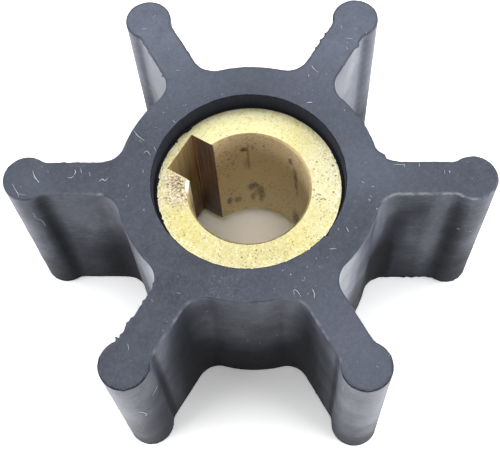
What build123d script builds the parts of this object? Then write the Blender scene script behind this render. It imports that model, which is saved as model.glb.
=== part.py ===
from build123d import *
import os

# Flexible pump impeller: a rubber rotor with beaded vanes, moulded round a keyed brass
# insert.  Millimetres, +Z along the shaft, the origin on the shaft axis in the plane of
# the lower face.  One vane lies along +X, and the keyway opens towards +Y.

# Brass insert: bore and keyway for the shaft, and the grip on the rubber.
bore_diameter = 12.7
bore_chamfer = 0.2
keyway_width = 4.76
keyway_depth = 2.27  # beyond the bore
keyway_wall = 1.18  # brass left behind the keyway
insert_edge_chamfer = 0.2
flute_count = 24
flute_radius = 1.0
flute_depth = 0.35
end_land = 2.2  # plain length beyond each end of the flutes

# Rubber rotor: hub, recess over each end of the insert, and vanes.
impeller_diameter = 50.8
impeller_width = 22.2
recess_depth = 2.1
recess_step = 0.15  # rubber shoulder round the edge of the insert
hub_wall = 3.65  # rubber outside the recess
vane_count = 6
vane_root_thickness = 3.8
vane_tip_thickness = 3.7
root_fillet = 2.5
bead_diameter = 5.0
bead_fillet = 1.5

# Sizes that follow from those above.
bore_radius = bore_diameter / 2
insert_radius = bore_radius + keyway_depth + keyway_wall
insert_length = impeller_width - 2 * recess_depth
flute_length = insert_length - 2 * end_land
recess_radius = insert_radius + recess_step
hub_radius = recess_radius + hub_wall
bead_radius = bead_diameter / 2
bead_centre_radius = impeller_diameter / 2 - bead_radius
flute_centre_radius = insert_radius + flute_radius - flute_depth

# The flanks of a vane converge evenly from the hub to the bead.  Drawn on inwards to
# the shaft axis, they would stand this far apart there.
vane_taper = (vane_root_thickness - vane_tip_thickness) / (bead_centre_radius - hub_radius)
vane_axis_thickness = vane_root_thickness + vane_taper * hub_radius

insert_plane = Plane.XY.offset(recess_depth)
flute_plane = insert_plane.offset(end_land)
top_plane = Plane.XY.offset(impeller_width)


# The outer form of the insert.  The rubber is moulded against it, so the rotor is
# cut to the same form.
with BuildPart() as insert_blank:
    with BuildSketch(insert_plane):
        Circle(insert_radius)
    extrude(amount=insert_length)
    chamfer(insert_blank.edges().filter_by(GeomType.CIRCLE), length=insert_edge_chamfer)
    with BuildSketch(flute_plane):
        with PolarLocations(flute_centre_radius, flute_count):
            Circle(flute_radius)
    extrude(amount=flute_length, mode=Mode.SUBTRACT)


with BuildPart() as brass_insert:
    add(insert_blank.part)
    with BuildSketch(insert_plane):
        Circle(bore_radius)
    extrude(amount=insert_length, mode=Mode.SUBTRACT)
    bore_mouths = brass_insert.edges(Select.LAST).filter_by(GeomType.CIRCLE)
    chamfer(bore_mouths, length=bore_chamfer)
    with BuildSketch(insert_plane):
        Rectangle(keyway_width, bore_radius + keyway_depth, align=(Align.CENTER, Align.MIN))
    extrude(amount=insert_length, mode=Mode.SUBTRACT)


# One vane, along +X from the shaft axis, with its beaded tip.
with BuildSketch() as vane_section:
    with BuildLine():
        Polyline(
            (0, vane_axis_thickness / 2),
            (bead_centre_radius, vane_tip_thickness / 2),
            (bead_centre_radius, -vane_tip_thickness / 2),
            (0, -vane_axis_thickness / 2),
            close=True,
        )
    make_face()
    with Locations((bead_centre_radius, 0)):
        Circle(bead_radius)
    bead_corners = vane_section.vertices().group_by(Axis.X)[1]
    fillet(bead_corners, radius=bead_fillet)


with BuildPart() as rubber_rotor:
    with BuildSketch() as rotor_section:
        Circle(hub_radius)
        with PolarLocations(0, vane_count):
            add(vane_section.sketch)
        root_corners = rotor_section.vertices().group_by(SortBy.DISTANCE)[0]
        fillet(root_corners, radius=root_fillet)
    extrude(amount=impeller_width)
    with BuildSketch(Plane.XY, top_plane.offset(-recess_depth)):
        Circle(recess_radius)
    extrude(amount=recess_depth, mode=Mode.SUBTRACT)
    add(insert_blank.part, mode=Mode.SUBTRACT)


os.makedirs("parts", exist_ok=True)

rubber_rotor.part.label = "rubber_rotor"
export_step(rubber_rotor.part, "parts/rubber_rotor.step")

brass_insert.part.label = "brass_insert"
export_step(brass_insert.part, "parts/brass_insert.step")
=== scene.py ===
"""Dressed model of the flexible pump impeller: a moulded rubber rotor on a keyed brass insert.

Shapes are worked out in millimetres in the part's own frame (+Z along the shaft, one vane
along +X, the keyway towards +Y) and turned into metres when their meshes are made.
"""

import math

import bmesh
import bpy
import numpy as np
from mathutils import Matrix, Vector
from mathutils.geometry import delaunay_2d_cdt


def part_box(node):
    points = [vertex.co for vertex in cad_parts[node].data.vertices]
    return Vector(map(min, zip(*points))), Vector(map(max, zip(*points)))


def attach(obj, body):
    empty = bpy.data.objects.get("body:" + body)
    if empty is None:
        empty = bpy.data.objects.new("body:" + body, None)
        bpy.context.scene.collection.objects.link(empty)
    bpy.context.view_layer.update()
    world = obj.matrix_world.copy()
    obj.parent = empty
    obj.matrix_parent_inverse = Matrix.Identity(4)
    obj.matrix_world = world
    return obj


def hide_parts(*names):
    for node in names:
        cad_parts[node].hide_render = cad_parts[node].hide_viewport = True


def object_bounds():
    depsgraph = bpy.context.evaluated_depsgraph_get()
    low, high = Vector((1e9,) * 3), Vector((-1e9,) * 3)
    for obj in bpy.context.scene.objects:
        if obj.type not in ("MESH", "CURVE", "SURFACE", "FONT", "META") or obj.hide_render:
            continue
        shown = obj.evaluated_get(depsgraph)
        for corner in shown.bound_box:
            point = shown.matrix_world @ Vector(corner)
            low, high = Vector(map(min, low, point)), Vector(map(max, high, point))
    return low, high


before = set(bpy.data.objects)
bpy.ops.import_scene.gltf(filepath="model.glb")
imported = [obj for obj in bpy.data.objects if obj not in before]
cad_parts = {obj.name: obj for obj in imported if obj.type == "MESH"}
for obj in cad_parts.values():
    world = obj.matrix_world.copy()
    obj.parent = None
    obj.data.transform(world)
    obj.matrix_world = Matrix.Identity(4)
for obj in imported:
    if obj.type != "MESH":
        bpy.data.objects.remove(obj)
cad_low, cad_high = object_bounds()

MM = 0.001
TAU = 2 * math.pi

# ------------ sizes, in millimetres

WIDTH = round(cad_high.z / MM, 3)
TIP_RADIUS = round(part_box("rubber_rotor")[1].x / MM, 1)
VANE_COUNT = 6
VANE_PITCH = TAU / VANE_COUNT

BORE_RADIUS = 6.35
BORE_CHAMFER = 0.2
KEYWAY_HALF_WIDTH = 2.38
KEYWAY_DEPTH = 2.27
KEYWAY_WALL = 1.18
KEYWAY_FLOOR = BORE_RADIUS + KEYWAY_DEPTH
INSERT_RADIUS = KEYWAY_FLOOR + KEYWAY_WALL
INSERT_CHAMFER = 0.2
INSERT_RIM = INSERT_RADIUS - INSERT_CHAMFER
FLUTE_COUNT = 24
FLUTE_RADIUS = 1.0
FLUTE_DEPTH = 0.35
END_LAND = 2.2

RECESS_DEPTH = 2.1
RECESS_STEP = 0.15
RECESS_RADIUS = INSERT_RADIUS + RECESS_STEP
HUB_WALL = 3.65
HUB_RADIUS = RECESS_RADIUS + HUB_WALL
ROOT_THICKNESS = 3.8
TIP_THICKNESS = 3.7
ROOT_FILLET = 2.5
BEAD_RADIUS = 2.5
BEAD_FILLET = 1.5
BEAD_CENTRE = TIP_RADIUS - BEAD_RADIUS

INSERT_LOW = RECESS_DEPTH
INSERT_HIGH = WIDTH - RECESS_DEPTH
FLUTE_LOW = INSERT_LOW + END_LAND
FLUTE_HIGH = INSERT_HIGH - END_LAND

# How finely the surfaces are divided.
OUTLINE_STEP = 0.09
WALL_LEVELS = 12
ROUND_STEPS = 720
FACE_GRID = 0.7
INSERT_FACE_RINGS = 40
BORE_LEVELS = 20
CREPT_STEPS = 2400
FIBRE_SIDES = 5

# Worn edge between a wall and an end face: how far each step of it lies in from the wall and
# below the face, and its share of the fraying. The plain wall starts this far from it.
WORN_EDGE = ((0, 0.12, 0.3), (0.035, 0.035, 1), (0.13, 0, 1), (0.3, 0, 0))
EDGE_GAP = 0.2

# Ragged lip round the recess, and how far the moulded walls swell and over what pitch.
RECESS_LIP = 0.1
WALL_SWELL = 0.03
SWELL_PITCH = 2.2

# Points nearer to each other than this are one point.
TOUCHING = 0.00001

# The camera that sees the part as it was photographed.
VIEW_AZIMUTH = -54.715
VIEW_ELEVATION = 64.865
VIEW_ROLL = -4.793
VIEW_TARGET = Vector((-0.271, 0.098, 11.0)) * MM
VIEW_DISTANCE = 113.137 * MM
VIEW_LENS = 72.58


# ------------ wear, place by place

# Vanes are numbered anticlockwise from the one on +X, and each has two flanks.
ACW, CW = 1, -1

# Stretches of the rotor's edges with torn moulding flash: vane, flank, the radii it runs
# between, its reach, the pitch of its tongues, and its paleness, which is dark below 0.
# The dark stretches along the beads of vanes 3 and 4 paint the shade of a groove at the rim.
TORN_EDGES = (
    (0, ACW, 15, 21.5, 0.15, 0.6, 0),
    (0, CW, 16.5, 21, 0.16, 0.9, 0.2),
    (1, ACW, 14, 21, 0.2, 0.45, 0.3),
    (1, CW, 14.5, 21, 0.07, 0.8, 0),
    (2, CW, 14.5, 21.5, 0.08, 0.7, 0),
    (2, ACW, 14.8, 17.3, 0.14, 0.5, 1),
    (2, ACW, 17, 21, 0.12, 0.5, 0.3),
    (3, CW, 14, 22, 0.16, 0.5, 0),
    (3, ACW, 14.2, 21, 0.1, 0.35, 0.5),
    (3, ACW, 21.5, 26.5, 0.14, 0.4, -0.9),
    (3, CW, 23.5, 26.5, 0.12, 0.5, -0.8),
    (4, CW, 14.2, 22, 0.12, 0.4, 0.5),
    (4, CW, 22.5, 26.5, 0.12, 0.5, -0.5),
    (4, ACW, 23.5, 26.5, 0.12, 0.5, -0.6),
    (5, ACW, 13.7, 16.5, 0.18, 0.6, 0),
    (5, CW, 13.7, 25.4, 0.26, 0.35, 1.3),
)

# Single lumps of flash on them: vane, flank, radius, reach and half-width.
LUMPS = (
    (3, CW, 21.2, 0.36, 0.22),
    (3, CW, 19.4, 0.12, 0.25),
    (0, ACW, 18.6, 0.16, 0.3),
    (0, ACW, 19.6, 0.16, 0.25),
    (0, CW, 19.9, 0.25, 0.5),
    (5, ACW, 14, 0.25, 0.4),
)

# These tables give the upper edge. The lower one has this share of their reach and of their
# paleness, and this tone, a painted contact shadow along the lower rim.
LOWER_FLASH = 0.4
LOWER_FRAY = 0.2
LOWER_RIM_SHADE = 0.1

# Patches where the walls are paler or darker than usual: vane, flank, radius, height,
# reach along the wall and up it, and tone. Tones of 1 and -1 reach the palest and darkest
# at the middle of the patch, and larger ones fill more of it. Some are dust and smears, and
# many are painted light: the dark ones low at the hub, in the necks beside the beads (radius
# 20.9 to 21.8) and on the flanks facing into the pocket between vanes 3 and 4 are painted
# shade; the pale ones on the outer flanks of vanes 0 and 1, far from the camera, are a
# painted reflection; and the pale ones at the roots of vanes 2 to 5 are painted highlights.
WALL_TONES = (
    (0, CW, 19, 12, 9, 24, 0.7),
    (1, ACW, 19, 12, 9, 24, 0.5),
    (2, ACW, 13.7, 19, 1.5, 6, 0.6),
    (2, ACW, 14.5, 5, 4.5, 12, -0.9),
    (2, ACW, 17.5, 15, 3.5, 9, 0.35),
    (2, ACW, 21.4, 14, 1.4, 18, -0.7),
    (2, ACW, 24.4, 12, 3.5, 14, 0.45),
    (3, CW, 24.5, 12, 4.5, 16, 0.3),
    (3, ACW, 13.7, 2, 6.5, 10, -1),
    (3, ACW, 16.5, 12, 3.5, 14, -0.9),
    (3, ACW, 13.7, 21, 6, 4.5, -0.3),
    (3, ACW, 20.9, 12, 0.7, 24, -0.8),
    (3, ACW, 23, 10, 3, 16, -0.2),
    (3, ACW, 25.3, 10, 3, 16, 0.5),
    (4, CW, 13.7, 2, 6.5, 10, -1),
    (4, CW, 15.5, 12, 2.5, 14, -0.8),
    (4, CW, 18.5, 14, 4, 14, -0.5),
    (4, CW, 20.9, 12, 0.6, 24, -0.5),
    (3, CW, 14.5, 15, 4.5, 16, 1.2),
    (4, ACW, 14.5, 15, 5, 18, 1.6),
    (4, CW, 24.5, 10, 4.5, 16, 0.4),
    (4, ACW, 24.5, 10, 4.5, 16, 0.45),
    (5, CW, 13.7, 17, 1.6, 9, 0.7),
    (5, CW, 13.7, 4, 3.5, 9, -0.9),
    (5, CW, 14.8, 6, 1.6, 9, -0.8),
    (5, CW, 15.8, 14, 1.6, 7, -0.6),
    (5, CW, 17.4, 18.5, 2.2, 3, -0.5),
    (5, CW, 18.3, 9, 2, 9, 0.3),
    (5, CW, 19.8, 11, 1.3, 14, 0.6),
    (5, CW, 21.8, 14, 1.4, 16, -0.4),
    (5, CW, 24.5, 12, 2.5, 10, 0.25),
)

# Patches where the end faces are paler or darker: middle, reach and tone from -1 to 1.
# The two broad pale ones on vanes 1 and 0, far from the camera, are painted sheen.
FACE_TONES = (
    ((10.5, 18), 11, 0.75),
    ((20.5, 0.3), 11, 0.7),
    ((-10.5, -18), 9, 0.3),
    ((7, -9.5), 6, 0.4),
    ((-19.5, 0.5), 10, -0.25),
    ((-11.5, 0), 7, -0.4),
    ((-6.2, 13.4), 1.8, -0.5),
    ((-1.5, -12), 3, -0.25),
    ((2.5, -12.4), 3, -0.25),
    ((-11.6, 19.2), 2.6, 0.2),
)

# Chips out of the upper rim of the recess: direction and half-width in degrees, and depth.
RECESS_CHIPS = ((-98, 2.6, 0.16), (-112, 0.7, 0.12), (-147, 0.8, 0.1), (-160, 0.5, 0.12))

# The bore's upper mouth is scuffed wider beside the keyway, in the same terms.
MOUTH_SCUFF = ((119, 7, 0.14),)

# Rubber that crept over the rim of the insert: from and to, in degrees, and its reach.
CREPT_RUBBER = ((62, 134, 0.36), (128, 180, 0.36), (-6, 6, 0.4), (-58, -38, 0.4))

# Loose pits in both ends of the insert, most of them on one side of it: their number, and
# the direction and spread in degrees.
LOOSE_PITS = 300
PITTED_SIDE = 185
PITTED_SPREAD = 75

# Clusters of pits in the insert's upper face: centre, spread, number and depth.
PIT_CLUSTERS = (
    ((2.85, -6.9), 0.45, 16, 0.06),
    ((-6.3, -4.6), 0.6, 14, 0.05),
    ((-3.6, 6.7), 0.55, 60, 0.05),
    ((-4.8, 6.2), 0.7, 24, 0.04),
    ((5.2, -6), 0.8, 10, 0.04),
)


# ------------ shared shape helpers


def new_object(name, data):
    made = bpy.data.objects.new(name, data)
    bpy.context.scene.collection.objects.link(made)
    return made


class Shell:
    """Points in millimetres and the faces between them, gathered ring by ring.

    Marks are named shares from 0 to 1 kept with each point, for its material to read.
    """

    def __init__(self, *marks):
        self.points = []
        self.faces = []
        self.slots = []
        self.marks = {name: [] for name in marks}

    def loop(self, points, **marks):
        """Adds points and their marks, and returns the points' numbers."""
        first, count = len(self.points), len(points)
        self.points.extend(np.asarray(points, float).tolist())
        for name, values in self.marks.items():
            values.extend(np.broadcast_to(marks.get(name, 0.0), count).tolist())
        return range(first, first + count)

    def ring(self, flat_points, height, **marks):
        heights = np.broadcast_to(height, len(flat_points))
        return self.loop(np.column_stack((flat_points, heights)), **marks)

    def skin(self, rings, slot=0, end_slot=None):
        """Closes the bands between anticlockwise rings; given upwards, they face outwards.

        The first and last bands take the end slot where there is one.
        """
        bands = list(zip(rings, rings[1:]))
        for number, (lower, upper) in enumerate(bands):
            at_end = end_slot is not None and number in (0, len(bands) - 1)
            for here in range(len(lower)):
                there = (here + 1) % len(lower)
                self.faces.append((lower[here], lower[there], upper[there], upper[here]))
                self.slots.append(end_slot if at_end else slot)

    def cap(self, ring):
        self.faces.append(tuple(ring))
        self.slots.append(0)

    def make(self, name, materials, flat_slots=(), sharp=50):
        """Makes the piece, and fixes it to the part's one body."""
        mesh = bpy.data.meshes.new(name)
        mesh.from_pydata([Vector(p) * MM for p in self.points], [], self.faces)
        for material in materials:
            mesh.materials.append(material)
        mesh.polygons.foreach_set("material_index", self.slots)
        mesh.polygons.foreach_set("use_smooth", [slot not in flat_slots for slot in self.slots])
        for mark, values in self.marks.items():
            mesh.attributes.new(mark, "FLOAT", "POINT").data.foreach_set("value", values)
        join_touching(mesh)
        mesh.set_sharp_from_angle(angle=math.radians(sharp))
        mesh.update()
        piece = new_object(name, mesh)
        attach(piece, "root")
        return piece


def join_touching(mesh):
    """Joins points that lie in one place, which drops the empty faces between them."""
    joined = bmesh.new()
    joined.from_mesh(mesh)
    bmesh.ops.remove_doubles(joined, verts=joined.verts, dist=TOUCHING * MM)
    joined.to_mesh(mesh)
    joined.free()


def arc(centre, radius, start, end):
    """Points along an arc, its end left out, and the spokes that point out of its centre."""
    count = max(2, math.ceil(abs(end - start) * radius / OUTLINE_STEP))
    angles = np.linspace(start, end, count, endpoint=False)
    spokes = np.column_stack((np.cos(angles), np.sin(angles)))
    return np.asarray(centre) + radius * spokes, spokes


def turned(vectors, angle):
    cosine, sine = math.cos(angle), math.sin(angle)
    return vectors @ np.array(((cosine, sine), (-sine, cosine)))


def polar(angles, radius):
    """Points in these directions, in radians, at one radius or at one each."""
    return np.column_stack((np.cos(angles), np.sin(angles))) * np.reshape(radius, (-1, 1))


def even_angles(steps=ROUND_STEPS):
    return np.arange(steps) * TAU / steps


def around(points):
    """Length along a closed loop up to each of its points, and its whole length."""
    steps = np.hypot(*(np.roll(points, -1, axis=0) - points).T)
    return np.concatenate(((0.0,), np.cumsum(steps)[:-1])), float(steps.sum())


def wander(rng, lengths, total, pitch):
    """Random heights from 0 to 1 along a closed loop, with a new one after each pitch."""
    count = max(4, round(total / pitch))
    knots = np.arange(count) * total / count
    return np.interp(lengths, knots, rng.random(count), period=total)


def tongues(rng, lengths, total, pitch, cover):
    """Torn tongues along a closed loop: up to 1 high over the share called cover, else 0."""
    return np.clip((wander(rng, lengths, total, pitch) - 1 + cover) / cover, 0, 1)


def window(values, start, end, fade):
    """1 between start and end, and down to 0 just inside them over the length fade."""
    return np.clip((values - start) / fade, 0, 1) * np.clip((end - values) / fade, 0, 1)


def bumps(degrees, places):
    """Sum of narrow bumps: each has a direction, half-width and height."""
    total = np.zeros(len(degrees))
    for direction, half_width, height in places:
        off = np.abs((degrees - direction + 180) % 360 - 180)
        total += height * np.clip(1.6 - 1.6 * off / half_width, 0, 1)
    return total


# ------------ rubber rotor


def vane_half():
    """Outline of half a vane, from its tip on +X to the hub halfway to the next vane."""
    taper = (ROOT_THICKNESS - TIP_THICKNESS) / 2 / (BEAD_CENTRE - HUB_RADIUS)
    along = np.array((1.0, -taper)) / math.hypot(1.0, taper)
    out = np.array((taper, 1.0)) / math.hypot(1.0, taper)
    flank = np.array((HUB_RADIUS, ROOT_THICKNESS / 2))
    bead = np.array((BEAD_CENTRE, 0.0))

    def fillet_centre(radius, other_centre, other_radius, side):
        """Centre of a fillet that touches the flank and a round form beside it."""
        start = flank + radius * out - other_centre
        reach = (radius + other_radius) ** 2 - start @ start
        forward = start @ along
        return start + other_centre + along * (-forward + side * math.sqrt(forward**2 + reach))

    root_centre = fillet_centre(ROOT_FILLET, np.zeros(2), HUB_RADIUS, 1)
    neck_centre = fillet_centre(BEAD_FILLET, bead, BEAD_RADIUS, -1)

    def heading(vector):
        return math.atan2(vector[1], vector[0])

    bead_join = heading(neck_centre - bead)
    hub_join = heading(root_centre)
    flank_side = heading(-out)
    neck_start = neck_centre - BEAD_FILLET * out
    root_end = root_centre - ROOT_FILLET * out

    neck, neck_spokes = arc(neck_centre, BEAD_FILLET, bead_join - math.pi, flank_side)
    root, root_spokes = arc(root_centre, ROOT_FILLET, flank_side, hub_join - math.pi)
    count = math.ceil(np.hypot(*(root_end - neck_start)) / OUTLINE_STEP)
    shares = np.linspace(0, 1, count, endpoint=False)[:, None]
    straight = neck_start + (root_end - neck_start) * shares
    stretches = (
        arc(bead, BEAD_RADIUS, 0.0, bead_join),
        (neck, -neck_spokes),
        (straight, np.tile(out, (count, 1))),
        (root, -root_spokes),
        arc(np.zeros(2), HUB_RADIUS, hub_join, VANE_PITCH / 2),
    )
    return tuple(np.vstack(column) for column in zip(*stretches))


class Outline:
    """The rotor's outline, anticlockwise, with outward normals, vane numbers and flanks."""

    def __init__(self):
        half, half_normals = vane_half()
        mirror = np.array((1.0, -1.0))
        valley = turned(np.array(((1.0, 0.0),)), -VANE_PITCH / 2)
        vane = np.vstack((valley * HUB_RADIUS, (half[1:] * mirror)[::-1], half))
        vane_normals = np.vstack((valley, (half_normals[1:] * mirror)[::-1], half_normals))
        turns = [number * VANE_PITCH for number in range(VANE_COUNT)]
        self.points = np.vstack([turned(vane, turn) for turn in turns])
        self.normals = np.vstack([turned(vane_normals, turn) for turn in turns])
        self.vanes = np.repeat(range(VANE_COUNT), len(vane))
        self.flanks = np.tile(np.repeat((CW, ACW), (len(half), len(half))), VANE_COUNT)
        self.radii = np.hypot(*self.points.T)
        self.lengths, self.total = around(self.points)

    def on(self, vane, flank):
        return (self.vanes == vane) & (self.flanks == flank)

    def length_at(self, vane, flank, radius):
        """Length along the outline to the place on a flank, nearest the tip, at this radius."""
        there = np.flatnonzero(self.on(vane, flank))[::flank]
        return self.lengths[there[np.argmin(np.abs(self.radii[there] - radius))]]

    def clear(self, spots, margin):
        """The spots on the end face, further than the margin from its two edges."""
        spots = spots[np.hypot(*spots.T) > RECESS_RADIUS + margin]
        depths = []
        for spot in spots:
            nearest = int(np.argmin(((self.points - spot) ** 2).sum(axis=1)))
            depths.append((self.points[nearest] - spot) @ self.normals[nearest])
        return spots[np.array(depths) > margin]


def torn_flash(rng, outline):
    """How far the torn flash stands out of each point of the edge, its paleness and tone."""
    def torn(pitch, cover):
        return tongues(rng, outline.lengths, outline.total, pitch, cover)

    # A little flash all along the edge, then the torn stretches and the lumps.
    reach = 0.04 * torn(0.6, 0.6)
    fray = 0.2 * torn(1.5, 0.4)
    for vane, flank, start, end, most, pitch, pale in TORN_EDGES:
        here = outline.on(vane, flank) * window(outline.radii, start, end, 0.5)
        reach += most * here * (0.4 * torn(pitch / 2, 0.6) + torn(pitch, 0.4))
        fray += pale * here * (0.3 + torn(pitch, 0.8))
    for vane, flank, radius, most, half_width in LUMPS:
        away = np.abs(outline.radii - radius)
        reach += most * outline.on(vane, flank) * np.clip(1.3 - 1.3 * away / half_width, 0, 1)
    return reach[:, None], np.clip(fray, 0, 1), np.clip(0.5 + fray, 0, 0.5)


def face_grid(outline):
    """Staggered points over the end face, clear of its two edges."""
    row_step = FACE_GRID * math.sqrt(3) / 2
    spots = []
    for row, y in enumerate(np.arange(-TIP_RADIUS, TIP_RADIUS, row_step)):
        start = FACE_GRID / 2 * (row % 2) - TIP_RADIUS
        spots.extend((x, y) for x in np.arange(start, TIP_RADIUS, FACE_GRID))
    return outline.clear(np.array(spots), 0.6 * FACE_GRID)


def wall_tone(outline, height):
    """Tone of the wall all round it at one height, as a share: 0.5 is its usual tone."""
    total = np.full(len(outline.points), 0.5)
    for vane, flank, radius, middle, along, up, tone in WALL_TONES:
        off = np.abs(outline.lengths - outline.length_at(vane, flank, radius))
        off = np.minimum(off, outline.total - off)
        away = np.hypot(off / along, (height - middle) / up)
        total += tone / 2 * np.clip(1.3 - 1.3 * away, 0, 1)
    return np.clip(total, 0, 1)


def face_tone(spots):
    """Tone of the end face at these spots, as a share: 0.5 is its usual tone."""
    total = np.full(len(spots), 0.5)
    for middle, reach, tone in FACE_TONES:
        away = np.hypot(*(spots - np.array(middle)).T)
        total += tone / 2 * np.clip(1.2 - away / reach, 0, 1)
    return np.clip(total, 0, 1)


def fill_face(shell, outer, inner, grid, height, slot, upward):
    """Fills an end face between its outer and inner rings with even triangles."""
    hole = np.array([shell.points[number][:2] for number in inner])

    def in_hole(spot):
        here = int(math.atan2(spot.y, spot.x) % TAU / TAU * len(hole)) % len(hole)
        way = hole[(here + 1) % len(hole)] - hole[here]
        off = np.array(spot) - hole[here]
        return way[0] * off[1] > way[1] * off[0]

    numbers = list(outer) + list(inner) + list(shell.ring(grid, height, tone=face_tone(grid)))
    flat = [Vector(shell.points[number][:2]) for number in numbers]
    first, second = len(outer), len(outer) + len(inner)
    edges = [(i, (i + 1) % first) for i in range(first)]
    edges += [(i, first + (i + 1 - first) % len(inner)) for i in range(first, second)]
    spots, _, faces, origins, _, _ = delaunay_2d_cdt(flat, edges, [], 1, 1e-7)
    for face in faces:
        corners = [origins[i][0] for i in face]
        if all(first <= corner < second for corner in corners):
            middle = sum((flat[corner] for corner in corners), Vector((0, 0))) / len(corners)
            if in_hole(middle):
                continue
        ordered = corners if upward else corners[::-1]
        shell.faces.append(tuple(numbers[corner] for corner in ordered))
        shell.slots.append(slot)


def fluted_radius(angles):
    """Radius of the fluted stretch of the insert in these directions."""
    pitch = TAU / FLUTE_COUNT
    off = (angles + pitch / 2) % pitch - pitch / 2
    centre = INSERT_RADIUS + FLUTE_RADIUS - FLUTE_DEPTH
    hit = FLUTE_RADIUS**2 - (centre * np.sin(off)) ** 2
    flute = centre * np.cos(off) - np.sqrt(np.clip(hit, 0, None))
    return np.where(hit > 0, np.minimum(flute, INSERT_RADIUS), INSERT_RADIUS)


def insert_profile(angles, upper_rim=INSERT_RIM):
    """Radius and height of each step up the outside of the insert."""
    flutes = fluted_radius(angles)
    return (
        (INSERT_RIM, INSERT_LOW),
        (INSERT_RADIUS, INSERT_LOW + INSERT_CHAMFER),
        (INSERT_RADIUS, FLUTE_LOW),
        (flutes, FLUTE_LOW),
        (flutes, FLUTE_HIGH),
        (INSERT_RADIUS, FLUTE_HIGH),
        (INSERT_RADIUS, INSERT_HIGH - INSERT_CHAMFER),
        (upper_rim, INSERT_HIGH),
    )


def edge_rings(shell, outline, flash, fray, rim_tone, height_of):
    """Rings over the worn edge of an end face, from the wall inwards."""
    rings = []
    last = len(WORN_EDGE) - 1
    for step, (inset, below, fray_share) in enumerate(WORN_EDGE):
        out = flash - inset if 0 < step < last else -inset
        spots = outline.points + outline.normals * out
        tone = face_tone(spots) if step == last else rim_tone
        rings.append(shell.ring(spots, height_of(below), fray=fray_share * fray, tone=tone))
    return rings


def recess_rings(shell, rng):
    """Rings up the inside of the rotor: recess, seat of the insert, and recess again."""
    angles = even_angles()
    lengths, total = around(polar(angles, RECESS_RADIUS))
    ragged = 0.05 * wander(rng, lengths, total, 0.35)
    chips = bumps(np.degrees(angles), RECESS_CHIPS) * (0.7 + 0.6 * wander(rng, lengths, total, 0.3))
    lip, bevel = RECESS_LIP, 0.3 * RECESS_LIP
    profile = (
        (RECESS_RADIUS + lip + ragged, 0.0),
        (RECESS_RADIUS + bevel + ragged, bevel),
        (RECESS_RADIUS + ragged, lip),
        (RECESS_RADIUS, INSERT_LOW / 2),
        (RECESS_RADIUS, INSERT_LOW),
        *insert_profile(angles),
        (RECESS_RADIUS, INSERT_HIGH),
        (RECESS_RADIUS + 0.4 * chips, WIDTH - INSERT_LOW / 2),
        (RECESS_RADIUS + ragged + chips, WIDTH - lip),
        (RECESS_RADIUS + bevel + ragged + chips, WIDTH - bevel),
        (RECESS_RADIUS + lip + ragged + chips, WIDTH),
    )
    rings = []
    for radius, height in profile:
        spots = polar(angles, radius)
        rings.append(shell.ring(spots, height, tone=face_tone(spots)))
    return rings


def make_rotor(outline, ground, moulded, cut):
    """The rubber rotor: ground end faces, moulded walls, and a recess cut at each end."""
    ground_slot, moulded_slot, cut_slot = 0, 1, 2
    rng = np.random.default_rng(11)
    shell = Shell("fray", "tone")
    flash, fray, rim_tone = torn_flash(rng, outline)
    lower_flash, lower_fray, _ = torn_flash(rng, outline)
    lower_flash *= LOWER_FLASH
    lower_fray *= LOWER_FRAY

    def wall_ring(height):
        uneven = WALL_SWELL * (wander(rng, outline.lengths, outline.total, SWELL_PITCH) - 0.5)
        spots = outline.points + outline.normals * uneven[:, None]
        return shell.ring(spots, height, tone=wall_tone(outline, height))

    rings = edge_rings(shell, outline, lower_flash, lower_fray, LOWER_RIM_SHADE, lambda z: z)
    rings.reverse()
    low = WORN_EDGE[0][1] + EDGE_GAP
    rings += [wall_ring(height) for height in np.linspace(low, WIDTH - low, WALL_LEVELS)]
    rings += edge_rings(shell, outline, flash, fray, rim_tone, lambda below: WIDTH - below)
    shell.skin(rings, moulded_slot, ground_slot)

    hollow = recess_rings(shell, rng)
    shell.skin(hollow[::-1], cut_slot)

    grid = face_grid(outline)
    fill_face(shell, rings[-1], hollow[-1], grid, WIDTH, ground_slot, True)
    fill_face(shell, rings[0], hollow[0], grid, 0.0, ground_slot, False)
    rotor = shell.make("rotor_skin", (ground, moulded, cut), flat_slots=(ground_slot,))
    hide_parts("rubber_rotor")


# ------------ brass insert


def insert_angles():
    """Even directions round the axis, with extra ones at the four corners of the keyway."""
    mouth = math.acos(KEYWAY_HALF_WIDTH / BORE_RADIUS)
    corner = math.atan2(KEYWAY_FLOOR, KEYWAY_HALF_WIDTH)
    corners = np.array((mouth, corner, math.pi - corner, math.pi - mouth))
    even = even_angles()
    gap = np.abs(even[:, None] - corners[None]).min(axis=1)
    return np.sort(np.concatenate((even[gap > 0.3 * TAU / ROUND_STEPS], corners)))


def hole_radius(angles, bore_radius):
    """Radius of the bore, or of the keyway where it is deeper, in these directions."""
    side = KEYWAY_HALF_WIDTH / np.clip(np.abs(np.cos(angles)), 1e-9, None)
    floor = KEYWAY_FLOOR / np.clip(np.sin(angles), 1e-9, None)
    slot = np.minimum(side, floor)
    return np.where((np.sin(angles) > 0) & (slot > bore_radius), slot, bore_radius)


def scatter_pits(rng, clusters):
    """Pits in an end of the insert, as rows of x, y, radius and depth."""
    radii = np.sqrt(rng.uniform(BORE_RADIUS**2, INSERT_RADIUS**2, LOOSE_PITS))
    spots = polar(np.radians(rng.normal(PITTED_SIDE, PITTED_SPREAD, LOOSE_PITS)), radii)
    sizes = rng.uniform(0.03, 0.07, LOOSE_PITS)
    rows = [np.column_stack((spots, sizes, rng.uniform(0.01, 0.04, LOOSE_PITS)))]
    for centre, spread, count, depth in clusters:
        spots = rng.normal(centre, spread, (count, 2))
        sizes = rng.uniform(0.04, 0.11, count)
        rows.append(np.column_stack((spots, sizes, rng.uniform(0.5, 1, count) * depth)))
    return np.vstack(rows)


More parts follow.
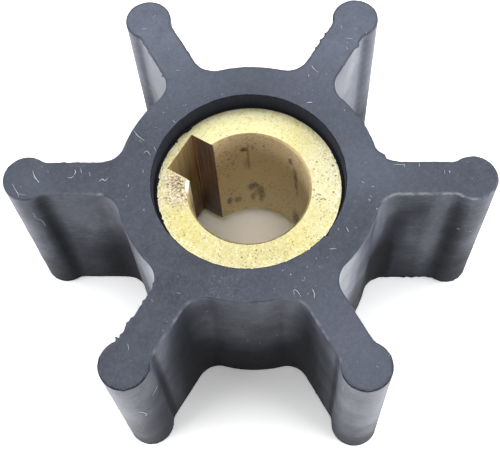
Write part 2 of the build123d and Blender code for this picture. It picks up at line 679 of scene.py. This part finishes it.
def pitted(flat, pits):
    """Depth below the face at these points, and their share of the pits' dark bottoms."""
    sizes, depths = pits[:, 2], pits[:, 3]
    away = np.hypot(flat[:, None, 0] - pits[:, 0], flat[:, None, 1] - pits[:, 1])
    share = np.clip(1.25 - away / sizes, 0, 1)
    darkness = np.clip(depths / 0.03, 0, 1)
    return (share * depths).max(axis=1), (share * darkness).max(axis=1)


def face_rings(shell, rng, hole, rim, height, down, clusters):
    """Rings between the hole and the rim over a faced end of the insert, with its pits."""
    start = np.array([shell.points[number][:2] for number in hole])
    end = np.array([shell.points[number][:2] for number in rim])
    pits = scatter_pits(rng, clusters)
    rings = [hole]
    for share in np.linspace(0, 1, INSERT_FACE_RINGS + 1)[1:-1]:
        flat = start + (end - start) * share
        depth, pit = pitted(flat, pits)
        rings.append(shell.ring(flat, height + down * depth, pit=pit))
    return rings + [rim]


def make_insert(faced, edge, bored):
    """The brass insert: faced ends, broached bore, fluted outside gripped by the rubber."""
    faced_slot, edge_slot, bored_slot = 0, 1, 2
    rng = np.random.default_rng(23)
    angles = insert_angles()
    shell = Shell("pit")
    lengths, total = around(polar(angles, INSERT_RADIUS))
    rim = INSERT_RIM - 0.05 * tongues(rng, lengths, total, 0.5, 0.3)
    profile = insert_profile(angles, rim)
    outside = [shell.ring(polar(angles, radius), height) for radius, height in profile]
    shell.skin(outside, edge_slot, faced_slot)

    mouth = BORE_RADIUS + BORE_CHAMFER
    scuffed_mouth = mouth + bumps(np.degrees(angles), MOUTH_SCUFF)
    hole = hole_radius(angles, BORE_RADIUS)
    levels = np.linspace(INSERT_LOW + BORE_CHAMFER, INSERT_HIGH - BORE_CHAMFER, BORE_LEVELS)
    profile = (
        (hole_radius(angles, mouth), INSERT_LOW),
        *((hole, height) for height in levels),
        (hole_radius(angles, scuffed_mouth), INSERT_HIGH),
    )
    inside = [shell.ring(polar(angles, radius), height) for radius, height in profile]
    shell.skin(inside[::-1], bored_slot, edge_slot)

    top = face_rings(shell, rng, inside[-1], outside[-1], INSERT_HIGH, -1, PIT_CLUSTERS)
    shell.skin(top[::-1], faced_slot)
    bottom = face_rings(shell, rng, inside[0], outside[0], INSERT_LOW, 1, ())
    shell.skin(bottom, faced_slot)
    insert = shell.make("insert_skin", (faced, edge, bored), sharp=25)
    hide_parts("brass_insert")


def make_crept_rubber(material):
    """A thin torn film of rubber that crept from the recess over the insert's rim."""
    hidden, sunk, thick, rounded = 0.26, 0.02, 0.06, 0.03
    rng = np.random.default_rng(31)
    angles = even_angles(CREPT_STEPS)
    lengths, total = around(polar(angles, INSERT_RIM))
    degrees = np.degrees(angles)
    reach = 0.05 * wander(rng, lengths, total, 0.3) - hidden
    for start, end, most in CREPT_RUBBER:
        here = window((degrees - start) % 360, 0, end - start, 6)
        reach += most * here * tongues(rng, lengths, total, 0.33, 0.7)
        reach += 0.4 * most * here * tongues(rng, lengths, total, 0.13, 0.6)
    inner = INSERT_RIM - reach
    outer = RECESS_RADIUS - 0.01
    shell = Shell("fray")
    profile = (
        (inner, INSERT_HIGH - sunk),
        (outer, INSERT_HIGH - sunk),
        (outer, INSERT_HIGH + thick),
        (inner + thick, INSERT_HIGH + thick),
        (inner, INSERT_HIGH + rounded),
    )
    rings = [shell.ring(polar(angles, radius), height) for radius, height in profile]
    shell.skin(rings + rings[:1])
    shell.make("crept_rubber", (material,))


# ------------ lint

# Fibres that lie on the upper face, each a few points along its curl.
FACE_FIBRES = (
    ((-10.4, 19.8), (-10.8, 19.3), (-11.1, 18.95)),
    ((-10.7, 19.45), (-11, 18.9), (-11.2, 18.4)),
    ((-12.7, 20.75), (-13.1, 20), (-13.35, 19.5), (-13.6, 19.2)),
    ((-13.2, 19.9), (-13.3, 19.2), (-13, 18.7)),
    ((-8.1, 16.05), (-8.35, 15.75), (-8.6, 15.8)),
    ((-7.7, 15.6), (-8.1, 15.2)),
    ((-9.25, 16.2), (-9.1, 15.8), (-8.75, 15.75)),
    ((-8, 13.1), (-7.5, 12.95), (-7.7, 12.6), (-7.2, 12.5)),
    ((8.75, -12.1), (9.25, -13)),
    ((9.35, -13), (9.05, -13.2)),
    ((10.2, -14.25), (9.85, -14.5)),
    ((10.9, -17.3), (10.75, -17.5)),
    ((5.4, -10.2), (5.35, -10.5)),
    ((5.4, -11.3), (5.5, -11.6)),
    ((3.85, -11.8), (4.05, -11.8), (3.95, -12), (3.75, -11.9)),
    ((-21, 0.8), (-21.5, 0.3)),
    ((-14.3, -0.35), (-14.15, -0.85)),
    ((-8.7, -10.45), (-8.3, -10.05), (-8.2, -10.5), (-8.6, -11.1)),
    ((-7.35, -11.65), (-7.6, -12.05), (-8.05, -12.25)),
    ((-9.65, -21.15), (-9.25, -21.15)),
    ((11.8, 19.6), (12.4, 19.45)),
    ((9.95, 19.9), (10.4, 19.3)),
    ((21.3, 0.9), (21, 0.65)),
    ((21.95, -1.9), (21.7, -2.05)),
    ((20.1, -0.45), (20.35, -1.05)),
    ((19.05, -1), (18.85, -1.3)),
    ((15.1, 1.1), (14.85, 0.7), (14.7, 0.05)),
    ((14, 0.85), (13.75, 0.7)),
    ((10.8, -0.75), (11.1, -1.2)),
    ((-1.1, 13.4), (-1.5, 12.75), (-1.65, 11.65)),
    ((-3, 10.9), (-2.55, 10.9), (-2.55, 10.6), (-2.85, 10.1)),
    ((-1.75, 10.4), (-2.05, 10)),
    ((1.9, 10.45), (1.8, 10.05)),
    ((-4.6, 9.9), (-4.85, 9.7)),
    ((-6.75, 10.3), (-7, 10.1)),
    ((10.95, -0.85), (11.1, -1.25)),
    ((0.15, -11.3), (-0.2, -11.75)),
    ((0.45, -12.1), (0.65, -12.2)),
    ((-2.8, -11), (-2.4, -11.6)),
)

# Crumbs on the upper face.
FACE_CRUMBS = (
    (-9.75, 18.3), (-7.9, 14.3), (3.4, -13), (-6.9, -11.8), (-7.05, -10.4), (13.2, 18.15),
    (5.35, 8.95), (7.2, 7.6), (21.65, -0.75), (19.6, -0.8), (2.9, 11.75), (2.2, 11.8),
    (11.9, -4.65), (-0.5, -10.75), (-4.35, -10.4), (-7.1, -9.1), (-7.1, -8.2),
)

# Fibres and crumbs that cling to the walls.
WALL_FIBRES = (
    ((-23.1, -2.55, 16.5), (-22.3, -2.45, 16.4), (-21.9, -2.3, 15.9)),
    ((-24.8, -1.75, 14.4), (-24.5, -2, 13.6), (-24.3, -2.15, 12.6), (-24.5, -1.95, 12.2)),
    ((-13.5, 18.35, 19.3), (-13.5, 18.4, 17.9), (-13.15, 18, 17.2), (-13.1, 17.95, 15.6)),
    ((8.9, -20.3, 15.2), (9.2, -20.8, 14.9), (9.45, -21.25, 15), (9.8, -21.75, 14.2)),
    ((9.1, -20.6, 12), (9.5, -21.3, 12)),
    ((-13.3, -18.2, 20.8), (-13.6, -18.6, 20), (-13.7, -18.75, 18.3)),
)
WALL_CRUMBS = (
    (-9.68, -9.6, 18.4), (-10.1, -9.16, 11.8), (-11.25, -7.7, 9.9), (-11.92, -6.6, 10.7),
    (-13.4, -3.07, 18.5), (-25, -1.4, 7.6),
)

# Fine fibres are strewn over the upper face too, clear of its edges.
FINE_FIBRES = 300
FINE_MARGIN = 0.4


def softened(path):
    """The path with its corners cut off twice."""
    for _ in range(2):
        cut = [path[0]]
        for start, end in zip(path, path[1:]):
            cut += [0.75 * start + 0.25 * end, 0.25 * start + 0.75 * end]
        path = np.array(cut + [path[-1]])
    return path


def add_fibre(shell, path, radius):
    """A closed tube along the path, thinner towards its ends."""
    path = softened(np.asarray(path, float))
    ways = np.gradient(path, axis=0)
    ways /= np.linalg.norm(ways, axis=1)[:, None]
    shares = np.linspace(-1, 1, len(path))
    turns = even_angles(FIBRE_SIDES)
    # A direction that no fibre runs along.
    askew = (0.31, 0.23, 0.92)
    rings = []
    for point, way, share in zip(path, ways, shares):
        across = np.cross(way, askew)
        across /= np.linalg.norm(across)
        over = np.cross(way, across)
        girth = radius * (1 - 0.7 * share**2)
        spokes = np.outer(np.cos(turns), across) + np.outer(np.sin(turns), over)
        rings.append(shell.loop(point + girth * spokes))
    shell.skin(rings)
    shell.cap(rings[-1])
    shell.cap(rings[0][::-1])


def make_lint(outline, material):
    """Pale fibres and crumbs: those that show most are placed one by one, fine ones strewn."""
    rng = np.random.default_rng(47)
    shell = Shell()
    top = WIDTH + 0.02
    for path in FACE_FIBRES:
        add_fibre(shell, [(x, y, top) for x, y in path], rng.uniform(0.02, 0.035))
    for path in WALL_FIBRES:
        add_fibre(shell, path, 0.03)
    for crumb in [(x, y, top) for x, y in FACE_CRUMBS] + list(WALL_CRUMBS):
        size = rng.uniform(0.05, 0.1)
        add_fibre(shell, np.array(crumb) + ((0, 0, 0), (size, size / 2, 0)), 0.045)
    spots = rng.uniform(-TIP_RADIUS, TIP_RADIUS, (FINE_FIBRES, 2))
    for spot in outline.clear(spots, FINE_MARGIN):
        bend = rng.normal(0, 0.1, (2, 2))
        path = np.vstack((spot, spot + bend[0], spot + bend.sum(axis=0)))
        add_fibre(shell, np.column_stack((path, (top, top, top))), rng.uniform(0.01, 0.02))
    shell.make("lint", (material,))


# ------------ materials


def linear(red, green, blue):
    """A linear colour from values as they look on screen, 0 to 255."""
    return tuple(((c / 255 + 0.055) / 1.055) ** 2.4 for c in (red, green, blue)) + (1.0,)


class Graph:
    """The nodes of a material or of the world."""

    def __init__(self, owner):
        owner.use_nodes = True
        self.owner = owner
        self.tree = owner.node_tree

    def add(self, kind, *values, **settings):
        """A new shader node of this kind, with these values at its first inputs."""
        node = self.tree.nodes.new("ShaderNode" + kind)
        for key, setting in settings.items():
            setattr(node, key, setting)
        for socket, value in zip(node.inputs, values):
            self.put(socket, value)
        return node

    def put(self, socket, value):
        """Links the value to the socket if it comes from a node, and otherwise sets it."""
        if isinstance(value, bpy.types.NodeSocket):
            self.tree.links.new(value, socket)
        else:
            socket.default_value = value

    def feed(self, node, **values):
        """Puts values at inputs by their names, with underscores for spaces."""
        for name, value in values.items():
            self.put(node.inputs[name.replace("_", " ")], value)

    def vector(self, operation, *values):
        outputs = self.add("VectorMath", *values, operation=operation).outputs
        return outputs["Value" if operation in ("LENGTH", "DISTANCE") else "Vector"]

    def math(self, operation, *values):
        return self.add("Math", *values, operation=operation).outputs[0]

    def times(self, first, second):
        return self.math("MULTIPLY", first, second)

    def spread(self, value, low, high, to_low=0, to_high=1):
        """Stretches values between low and high to the new span, and holds the rest there."""
        return self.add("MapRange", value, low, high, to_low, to_high, clamp=True).outputs[0]

    def seen(self):
        """1 for rays from the camera and for reflected or refracted ones, 0 for the rest."""
        path = self.add("LightPath").outputs
        bent = self.math("MAXIMUM", path["Is Glossy Ray"], path["Is Transmission Ray"])
        return self.math("MAXIMUM", path["Is Camera Ray"], bent)


class Surface(Graph):
    """A piece's material, with places in millimetres and a base colour laid on in coats."""

    def __init__(self, name):
        super().__init__(bpy.data.materials.new(name))
        coordinates = self.add("TexCoord").outputs["Object"]
        self.place = self.vector("MULTIPLY", coordinates, (1 / MM, 1 / MM, 1 / MM))
        self.x, self.y, self.z = self.add("SeparateXYZ", self.place).outputs
        self.base = None

    def mark(self, name):
        return self.add("Attribute", attribute_name=name).outputs["Fac"]

    def noise(self, scale, detail=3, roughness=0.55, stretch=None, place=None):
        """Noise with this many features a millimetre, denser along axes with more stretch."""
        place = self.place if place is None else place
        if stretch is not None:
            place = self.vector("MULTIPLY", place, stretch)
        node = self.add("TexNoise", place)
        self.feed(node, Scale=scale, Detail=detail, Roughness=roughness)
        return node.outputs["Fac"]

    def mix(self, share, *colours):
        """Blends two colours, each from another node or given as it looks on screen.

        A share given as a tuple is a value to spread and the settings of its spread.
        """
        share = self.spread(*share) if isinstance(share, tuple) else share
        node = self.add("Mix", share, data_type="RGBA")
        sockets = [socket for socket in node.inputs if socket.type == "RGBA"]
        for socket, value in zip(sockets, colours):
            self.put(socket, linear(*value) if isinstance(value, tuple) else value)
        return next(socket for socket in node.outputs if socket.type == "RGBA")

    def coat(self, share, colour):
        """Lays a colour over the base colour by this share, as for mix."""
        self.base = self.mix(share, self.base, colour)

    def bump(self, height, distance, strength, under=None):
        node = self.add("Bump")
        self.feed(node, Height=height, Distance=distance * MM, Strength=strength)
        if under is not None:
            self.feed(node, Normal=under)
        return node.outputs["Normal"]

    def spot(self, centre, reach, ragged=0, taller=1):
        """1 near a place, falling to 0 at its reach, with an edge as ragged as asked."""
        squeeze = (1, 1, 1 / taller)
        there = tuple(value * share for value, share in zip(centre, squeeze))
        away = self.vector("DISTANCE", self.vector("MULTIPLY", self.place, squeeze), there)
        if ragged:
            uneven = self.math("MULTIPLY_ADD", self.noise(3.5, 4, 0.75), ragged, -ragged / 2)
            away = self.math("ADD", away, uneven)
        return self.spread(away, 0.5 * reach, reach, 1, 0)

    def shade(self, **values):
        """Finishes the material with its base colour and these settings."""
        self.feed(self.tree.nodes["Principled BSDF"], Base_Color=self.base, **values)
        return self.owner


def ground_rubber():
    """End faces, ground flat: grey with rubber dust, lightly scratched and grained, with painted
    sheen and painted shade carried by the tone mark.
    """
    graph = Surface("rubber_ground")
    broad = graph.spread(graph.noise(0.12, 2), 0.35, 0.65)
    patches = graph.spread(graph.noise(0.6, 5, 0.7), 0.36, 0.66)
    grain = graph.noise(3.4, 4, 0.8)
    scratches = graph.noise(1, 3, 0.7, stretch=(0.3, 7, 1))
    tone = graph.mark("tone")
    graph.base = graph.mix(broad, (77, 85, 96), (82, 85, 101))
    # The tone mark brings face patches, painted sheen on the far vanes and painted shade at some
    # rims.
    graph.coat((tone, 0.5, 0), (60, 61, 67))
    graph.coat((tone, 0.5, 1), (134, 142, 161))
    graph.coat((patches, 0, 1, 0, 0.55), (98, 104, 117))
    graph.coat((grain, 0.3, 0.5, 0.3, 0), (56, 60, 70))
    graph.coat((grain, 0.5, 0.72, 0, 0.35), (128, 134, 148))
    graph.coat((scratches, 0.6, 0.75, 0, 0.25), (138, 143, 155))
    scuffs = graph.spread(graph.noise(2.2, 5, 0.8, stretch=(1, 2.5, 1)), 0.5, 0.66, 0, 0.7)
    scuffed = graph.times(graph.spot((-11.7, -4.9, WIDTH), 3, 3), scuffs)
    graph.coat(scuffed, (126, 131, 138))
    graph.coat(graph.mark("fray"), (146, 150, 158))
    rough = graph.bump(grain, 0.06, 0.6)
    return graph.shade(
        Roughness=graph.spread(patches, 0, 1, 0.5, 0.65),
        Normal=graph.bump(scratches, 0.03, 0.3, under=rough),
        Specular_IOR_Level=0.3,
    )


def moulded_rubber():
    """Moulded walls: near black, with fine level lines and grinding dust towards the top, painted
    shade that darkens them towards the foot, and a painted contact shadow along it.
    """
    graph = Surface("rubber_moulded")
    lines = graph.noise(1, 3, 0.6, stretch=(0.22, 0.22, 6))
    drift = graph.noise(0.3, 3, 0.5)
    dust = graph.noise(1.8, 5, 0.75)
    grain = graph.noise(5, 3, 0.7)
    # Painted shade: the tone rises from the foot of the wall to its top.
    tone = graph.math("ADD", graph.mark("tone"), graph.spread(graph.z, 0, WIDTH, -0.27, 0.24))
    tone = graph.math("ADD", tone, graph.spread(drift, 0.25, 0.75, -0.1, 0.1))
    graph.base = graph.mix((tone, 0, 0.5), (11, 11, 15), (40, 43, 53))
    graph.coat((tone, 0.5, 1), (94, 99, 115))
    graph.coat((tone, 0.9, 1.15), (150, 152, 157))
    lined = graph.times(graph.spread(lines, 0.52, 0.75, 0, 0.4), graph.spread(tone, 0.2, 0.8))
    graph.coat(lined, (104, 109, 122))
    dusted = graph.times(graph.spread(dust, 0.48, 0.7, 0, 0.75), graph.spread(tone, 0.4, 0.9))
    graph.coat(dusted, (112, 114, 122))
    graph.coat((grain, 0.5, 0.75, 0, 0.2), (84, 88, 98))
    # A painted contact shadow along the foot of each wall.
    foot_shade = graph.math("ADD", graph.z, graph.spread(dust, 0.3, 0.7, -0.25, 0.25))
    graph.coat((foot_shade, 0.35, 0.75, 0.9, 0), (12, 12, 14))
    graph.coat(graph.mark("fray"), (150, 153, 160))
    level = graph.bump(lines, 0.03, 0.35)
    return graph.shade(
        Roughness=graph.spread(tone, 0.1, 0.8, 0.75, 0.3),
        Normal=graph.bump(grain, 0.02, 0.3, under=level),
        Specular_IOR_Level=0.12,
    )


def cut_rubber():
    """The recess, cut dull and dark, with turning marks round it and painted shade deeper in it."""
    graph = Surface("rubber_cut")
    turning = graph.noise(1, 2, 0.6, stretch=(0.2, 0.2, 7))
    grain = graph.noise(3, 4, 0.7)
    graph.base = graph.mix((grain, 0.35, 0.65), (17, 19, 27), (40, 43, 57))
    # Painted shade: darker down in the recess, towards the insert.
    graph.coat((graph.z, INSERT_HIGH, WIDTH, 0.8, 0), (8, 8, 11))
    return graph.shade(
        Roughness=graph.spread(grain, 0.3, 0.7, 0.8, 0.95),
        Normal=graph.bump(turning, 0.05, 0.5),
        Specular_IOR_Level=0.2,
    )


def faced_brass():
    """Turned ends of the insert: pale, bright, faintly turned, flecked and finely pitted, with
    painted light towards the back.
    """
    graph = Surface("brass_faced")
    radius = graph.vector("LENGTH", graph.vector("MULTIPLY", graph.place, (1, 1, 0)))
    x, y = graph.times(graph.x, 0.15), graph.times(graph.y, 0.15)
    round_axis = graph.add("CombineXYZ", graph.times(radius, 9), x, y).outputs[0]
    turning = graph.noise(1, 3, 0.6, place=round_axis)
    broad = graph.spread(graph.noise(0.22, 2), 0.4, 0.6)
    mottle = graph.spread(graph.noise(3, 5, 0.8), 0.4, 0.6)
    blotch = graph.noise(1.6, 5, 0.8)
    flecks = graph.noise(5, 3, 0.7)
    fleck_zone = graph.spread(graph.noise(0.35, 2), 0.4, 0.65, 0.06, 0)
    graph.base = graph.mix(broad, (222, 209, 126), (224, 216, 160))
    # Painted light: paler towards the back of the face, away from the camera.
    graph.coat(graph.spot((6.3, 4.4, INSERT_HIGH), 7, 1), (255, 250, 188))
    graph.coat(graph.spot((5.5, -6.5, INSERT_HIGH), 5, 2), (234, 228, 186))
    graph.coat(graph.spot((-6.3, -4.4, INSERT_HIGH), 5.5, 2), (208, 198, 138))
    graph.coat(graph.times(mottle, 0.7), (242, 236, 190))
    graph.coat((blotch, 0.34, 0.48, 0.6, 0), (206, 192, 116))
    graph.coat((turning, 0.55, 0.8, 0, 0.35), (190, 174, 104))
    at_rim = graph.times(graph.spread(radius, 8.4, 9.4), graph.spread(blotch, 0.45, 0.58, 0, 0.6))
    graph.coat(at_rim, (255, 252, 230))
    graph.coat((graph.math("ADD", flecks, fleck_zone), 0.35, 0.42, 0.9, 0), (118, 94, 36))
    by_key = graph.spot((-3.2, 7.2, INSERT_HIGH), 1.5, 1.6)
    by_bore = graph.spot((-4.3, 5.9, INSERT_HIGH), 2, 2)
    worn = graph.times(graph.math("MAXIMUM", by_key, by_bore), 0.75)
    worn_base = graph.mix((flecks, 0.4, 0.6), (150, 116, 82), (250, 240, 214))
    graph.coat(worn, worn_base)
    graph.coat(graph.mark("pit"), (84, 58, 16))
    turned_marks = graph.bump(turning, 0.02, 0.3)
    return graph.shade(
        Metallic=0.7,
        Roughness=graph.spread(mottle, 0, 1, 0.18, 0.26),
        Normal=graph.bump(mottle, 0.03, 0.36, under=turned_marks),
    )


def edge_brass():
    """Chamfers of the insert: a copper tint, scuffed bright beside the keyway with a painted
    highlight.
    """
    graph = Surface("brass_edge")
    tone = graph.spread(graph.noise(1.5, 3, 0.6), 0.3, 0.7)
    graph.base = graph.mix(tone, (148, 124, 84), (184, 164, 112))
    # Scuffed bright, and a painted highlight on the scuff.
    graph.coat(graph.spot((-3.1, 5.75, INSERT_HIGH), 1), (255, 252, 246))
    return graph.shade(Metallic=0.5, Roughness=graph.spread(tone, 0, 1, 0.45, 0.6))


# Where the keyway opens into the bore, and the painted copper highlight along its inner corner, on
# the Y axis.
SLOT_Y = 6.0
CORNER_GLINT_Y = 8.36

# Stains in the bore, and one patch of painted shade low in it: place, half-width, how many times
# taller than wide, and strength.
BORE_STAINS = (
    ((5.35, 3.4, 7.9), 0.3, 2, 0.8),
    ((5.6, 3, 8.4), 0.32, 1.6, 0.8),
    ((5.85, 2.45, 7.4), 0.34, 2.2, 0.8),
    ((5.9, 2.3, 6), 0.32, 2.4, 0.7),
    ((5.62, 2.95, 6.4), 0.26, 2.4, 0.45),
    ((5.4, 3.3, 5.4), 0.22, 3, 0.7),
    ((5.85, 2.45, 4.9), 0.22, 3, 0.6),
    ((5.3, 3.5, 15.4), 0.13, 16, 0.5),
    ((5.2, 3.65, 13.6), 0.3, 3, 0.35),
    ((5.05, 3.85, 16.9), 0.3, 1.2, 0.9),
    ((5.6, 3, 17.2), 0.14, 2, 0.5),
    ((3.45, 5.35, 5.6), 0.26, 2.6, 0.85),
    ((4.25, 4.7, 5.2), 0.34, 1.6, 0.7),
    ((3.7, 5.15, 7.2), 0.12, 2, 0.5),
    # Painted shade low in the bore.
    ((5.85, -2.5, 4.2), 0.6, 2.4, 0.9),
    ((6.2, -1.4, 17.1), 0.22, 2.4, 0.85),
    ((6, -2.1, 15.5), 0.26, 2.6, 0.6),
    ((5.95, -2.25, 14.2), 0.26, 3, 0.7),
    ((5.9, -2.35, 12.6), 0.22, 3, 0.75),
    ((5.85, -2.5, 11.2), 0.16, 3, 0.6),
)


def bored_brass():
    """Bore and keyway: dull brown, drawn-out tool marks, stains, painted shade low in the keyway
    and a painted copper highlight along its corner.
    """
    graph = Surface("brass_bored")
    drawn = graph.noise(1, 3, 0.6, stretch=(3, 3, 0.12))
    mottle = graph.noise(0.5, 3, 0.6)
    graph.base = graph.mix((mottle, 0.35, 0.65), (222, 198, 162), (230, 210, 168))
    graph.coat((graph.z, INSERT_LOW, INSERT_HIGH, 0.75, 0.1), (232, 220, 168))
    freckle_zone = graph.spread(graph.noise(0.28, 2), 0.35, 0.65, 0.08, 0)
    freckles = graph.math("ADD", graph.noise(3, 3, 0.7), freckle_zone)
    graph.coat((freckles, 0.38, 0.5, 0.6, 0), (120, 98, 64))

    in_slot = graph.spread(graph.y, SLOT_Y - 0.1, SLOT_Y)
    slot_base = graph.mix((drawn, 0.35, 0.65), (116, 104, 104), (174, 148, 128))
    on_floor = graph.spread(graph.y, KEYWAY_FLOOR - 0.03, KEYWAY_FLOOR - 0.01)
    floor_base = graph.mix((drawn, 0.35, 0.65), (140, 120, 82), (178, 154, 106))
    slot_base = graph.mix(on_floor, slot_base, floor_base)
    graph.coat(in_slot, slot_base)
    # A painted highlight: a copper glint along the keyway's inner corner.
    from_glint = graph.math("ABSOLUTE", graph.math("SUBTRACT", graph.y, CORNER_GLINT_Y))
    corner_glint = graph.times(graph.spread(from_glint, 0.03, 0.12, 1, 0), in_slot)
    corner_glint = graph.times(corner_glint, graph.spread(drawn, 0.3, 0.6, 0.6, 1))
    graph.coat(corner_glint, (246, 178, 122))
    # Painted shade deep in the keyway, near the lower end of the bore.
    foot_shade = graph.times(graph.spread(graph.z, 4, 8, 0.7, 0), in_slot)
    graph.coat(foot_shade, (70, 52, 42))

    broken = graph.spread(graph.noise(3, 5, 0.8), 0.42, 0.54, 0.4, 1)
    for centre, reach, taller, strength in BORE_STAINS:
        stain = graph.spot(centre, 1.7 * reach, 2.6 * reach, taller)
        share = graph.times(graph.times(stain, strength), broken)
        graph.coat(share, (66, 46, 30))
    return graph.shade(
        Metallic=0.3,
        Roughness=graph.spread(mottle, 0.3, 0.7, 0.42, 0.56),
        Normal=graph.bump(drawn, 0.02, 0.4),
    )


def pale_lint():
    """Fibres and crumbs of lint: off-white and matt."""
    graph = Surface("lint_pale")
    tone = graph.spread(graph.noise(0.8, 2), 0.35, 0.65)
    graph.base = graph.mix(tone, (168, 172, 178), (226, 228, 230))
    return graph.shade(Roughness=0.9, Normal=graph.bump(graph.noise(20), 0.01, 0.5))


# ------------ stage, lights, camera

# The floor: its width, its tone where it lights the part, and from where to where it turns
# into plain white, in metres from the part's axis.
FLOOR_WIDTH = 1.2
FLOOR_GREY = 0.8
FLOOR_WHITE_FROM, FLOOR_WHITE_TO = 0.08, 0.14

# Soft boxes that face the part: how far they all stand from it and how tall, in metres.
LAMP_DISTANCE = 0.3
LAMP_HEIGHT = 0.15

# Each one's name, degrees to the right of the camera and above the floor, width and power.
LAMPS = (
    ("left_box", -88, 15, 0.44, 1.25),
    ("left_front_box", -60, 15, 0.2, 0.17),
    ("right_box", 76, 15, 0.32, 0.89),
    ("right_front_box", 60, 15, 0.2, 0.22),
    ("right_back_box", 120, 15, 0.2, 0.34),
    ("back_box", 180, 15, 0.3, 0.11),
    ("top_front_box", 0, 72, 0.15, 0.15),
    ("top_back_box", 180, 72, 0.15, 0.085),
)


def make_world(light):
    """A white surround, dimmed to the given strength where it lights the part."""
    world = bpy.data.worlds.new("white_surround")
    graph = Graph(world)
    strength = graph.spread(graph.seen(), 0, 1, light, 1)
    graph.feed(graph.tree.nodes["Background"], Color=(1, 1, 1, 1), Strength=strength)
    bpy.context.scene.world = world


def make_floor(white):
    """A plain sheet with the part's shadow, pure white to camera and mirror away from it."""
    mesh = bpy.data.meshes.new("floor")
    half = FLOOR_WIDTH / 2
    corners = [(-half, -half, 0), (half, -half, 0), (half, half, 0), (-half, half, 0)]
    mesh.from_pydata(corners, [], [(0, 1, 2, 3)])
    floor = new_object("floor", mesh)
    graph = Graph(bpy.data.materials.new("white_sheet"))
    nodes = graph.tree.nodes
    nodes.remove(nodes["Principled BSDF"])
    seen = graph.seen()
    sheet = graph.add("BsdfDiffuse", graph.spread(seen, 0, 1, FLOOR_GREY, white)).outputs[0]
    glow = graph.add("Emission").outputs[0]
    away = graph.vector("LENGTH", graph.add("TexCoord").outputs["Object"])
    far = graph.spread(away, FLOOR_WHITE_FROM, FLOOR_WHITE_TO, 0, seen)
    blend = graph.add("MixShader", far, sheet, glow).outputs[0]
    graph.feed(nodes["Material Output"], Surface=blend)
    mesh.materials.append(graph.owner)


def towards(azimuth, elevation):
    """Unit vector at this many degrees to the right of the camera's own side of the part."""
    a, e = math.radians(VIEW_AZIMUTH + azimuth), math.radians(elevation)
    return Vector((math.sin(a) * math.cos(e), -math.cos(a) * math.cos(e), math.sin(e)))


def make_lamp(name, azimuth, elevation, width, power):
    data = bpy.data.lights.new(name, "AREA")
    data.shape = "RECTANGLE"
    data.size, data.size_y = width, LAMP_HEIGHT
    data.energy = power
    lamp = new_object(name, data)
    out = towards(azimuth, elevation)
    lamp.location = VIEW_TARGET + out * LAMP_DISTANCE
    lamp.rotation_mode = "QUATERNION"
    lamp.rotation_quaternion = out.to_track_quat("Z", "Y")


def make_camera():
    data = bpy.data.cameras.new("camera")
    data.lens = VIEW_LENS
    data.clip_start = 0.005
    camera = new_object("camera", data)
    back = towards(0, VIEW_ELEVATION)
    level = Vector((-back.y, back.x, 0)).normalized()
    level_up = back.cross(level)
    roll = math.radians(VIEW_ROLL)
    right = level * math.cos(roll) + level_up * math.sin(roll)
    up = level_up * math.cos(roll) - level * math.sin(roll)
    placed = Matrix((right, up, back)).transposed().to_4x4()
    placed.translation = VIEW_TARGET + back * VIEW_DISTANCE
    camera.matrix_world = placed
    bpy.context.scene.camera = camera


# ------------ the dressed part

make_camera()
make_world(light=0.03)
make_floor(white=1.9)
for lamp in LAMPS:
    make_lamp(*lamp)

outline = Outline()
cut = cut_rubber()
make_rotor(outline, ground_rubber(), moulded_rubber(), cut)
make_insert(faced_brass(), edge_brass(), bored_brass())
make_crept_rubber(cut)
make_lint(outline, pale_lint())

bpy.context.scene.view_settings.view_transform = "Standard"
